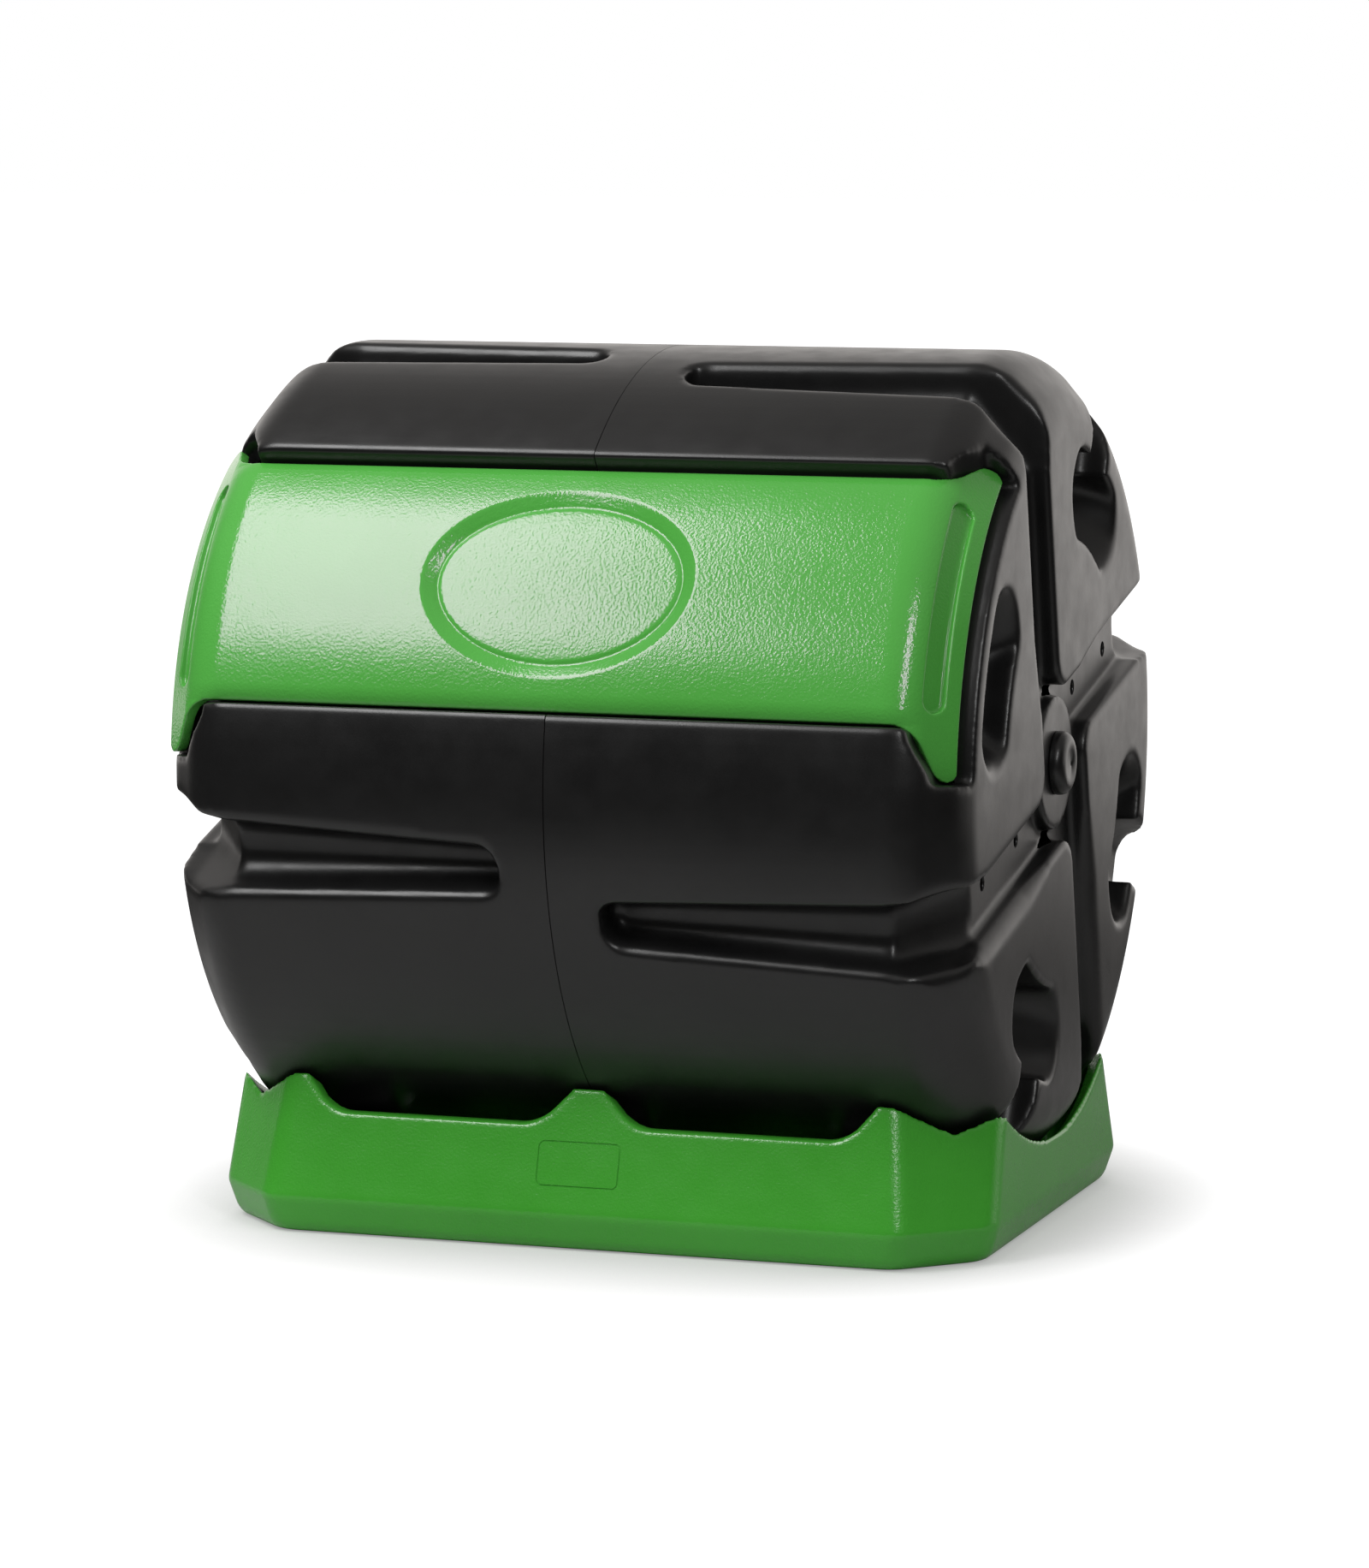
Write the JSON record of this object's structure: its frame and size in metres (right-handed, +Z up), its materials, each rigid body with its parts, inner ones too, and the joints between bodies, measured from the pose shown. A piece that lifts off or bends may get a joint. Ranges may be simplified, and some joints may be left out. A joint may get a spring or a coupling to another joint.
{
  "type": "rolling composter",
  "caption": "Black moulded compost drum with a green curved lid, turning on hidden rollers in a low green tray-shaped base with horns.",
  "frame": {"origin": "middle of the base's underside", "axes": "+X along the drum's axis, to the right seen from the lid's side; -Y towards the front, where the lid is; +Z up"},
  "size_m": [0.6034, 0.6, 0.6395],
  "materials": {
    "drum_black": "fine grained moulded polyethylene",
    "cap_black": "satin moulded",
    "lid_green": "orange-peel moulded polyethylene",
    "base_green": "satin moulded polyethylene",
    "roller_nylon": "natural nylon",
    "zinc_steel": "zinc plated"
  },
  "bodies": {
    "base": {"base_tray": "base_green", "roller_pin_front_left": "zinc_steel", "roller_pin_front_middle": "zinc_steel", "roller_pin_front_right": "zinc_steel", "roller_pin_rear_left": "zinc_steel", "roller_pin_rear_middle": "zinc_steel", "roller_pin_rear_right": "zinc_steel"},
    "drum": {"drum_left_half": "drum_black", "drum_right_half": "drum_black", "hub_cap_left": "cap_black", "hub_cap_right": "cap_black", "seam_bolts": "zinc_steel", "seam_nuts": "zinc_steel"},
    "lid": {"lid": "lid_green"},
    "roller_front_left": {"roller_front_left": "roller_nylon"},
    "roller_front_middle": {"roller_front_middle": "roller_nylon"},
    "roller_front_right": {"roller_front_right": "roller_nylon"},
    "roller_rear_left": {"roller_rear_left": "roller_nylon"},
    "roller_rear_middle": {"roller_rear_middle": "roller_nylon"},
    "roller_rear_right": {"roller_rear_right": "roller_nylon"}
  },
  "joints": [
    {"name": "drum_spin", "type": "hinge", "parent": "base", "child": "drum", "pos_m": [0, 0, 0.3395], "axis": [1, 0, 0], "continuous": true},
    {"name": "lid_lift", "type": "slide", "parent": "drum", "child": "lid", "axis": [0, -0.8638, 0.5038], "range_m": [0, 0.25]},
    {"name": "roller_front_left_spin", "type": "hinge", "parent": "base", "child": "roller_front_left", "pos_m": [-0.195, -0.14943, 0.05846], "axis": [1, 0, 0], "continuous": true},
    {"name": "roller_front_middle_spin", "type": "hinge", "parent": "base", "child": "roller_front_middle", "pos_m": [0, -0.14943, 0.05846], "axis": [1, 0, 0], "continuous": true},
    {"name": "roller_front_right_spin", "type": "hinge", "parent": "base", "child": "roller_front_right", "pos_m": [0.195, -0.14943, 0.05846], "axis": [1, 0, 0], "continuous": true},
    {"name": "roller_rear_left_spin", "type": "hinge", "parent": "base", "child": "roller_rear_left", "pos_m": [-0.195, 0.14943, 0.05846], "axis": [1, 0, 0], "continuous": true},
    {"name": "roller_rear_middle_spin", "type": "hinge", "parent": "base", "child": "roller_rear_middle", "pos_m": [0, 0.14943, 0.05846], "axis": [1, 0, 0], "continuous": true},
    {"name": "roller_rear_right_spin", "type": "hinge", "parent": "base", "child": "roller_rear_right", "pos_m": [0.195, 0.14943, 0.05846], "axis": [1, 0, 0], "continuous": true}
  ],
  "couplings": [
    {"joint": "roller_front_left_spin", "follows": "drum_spin", "ratio": -16.667},
    {"joint": "roller_front_middle_spin", "follows": "drum_spin", "ratio": -16.667},
    {"joint": "roller_front_right_spin", "follows": "drum_spin", "ratio": -16.667},
    {"joint": "roller_rear_left_spin", "follows": "drum_spin", "ratio": -16.667},
    {"joint": "roller_rear_middle_spin", "follows": "drum_spin", "ratio": -16.667},
    {"joint": "roller_rear_right_spin", "follows": "drum_spin", "ratio": -16.667}
  ]
}
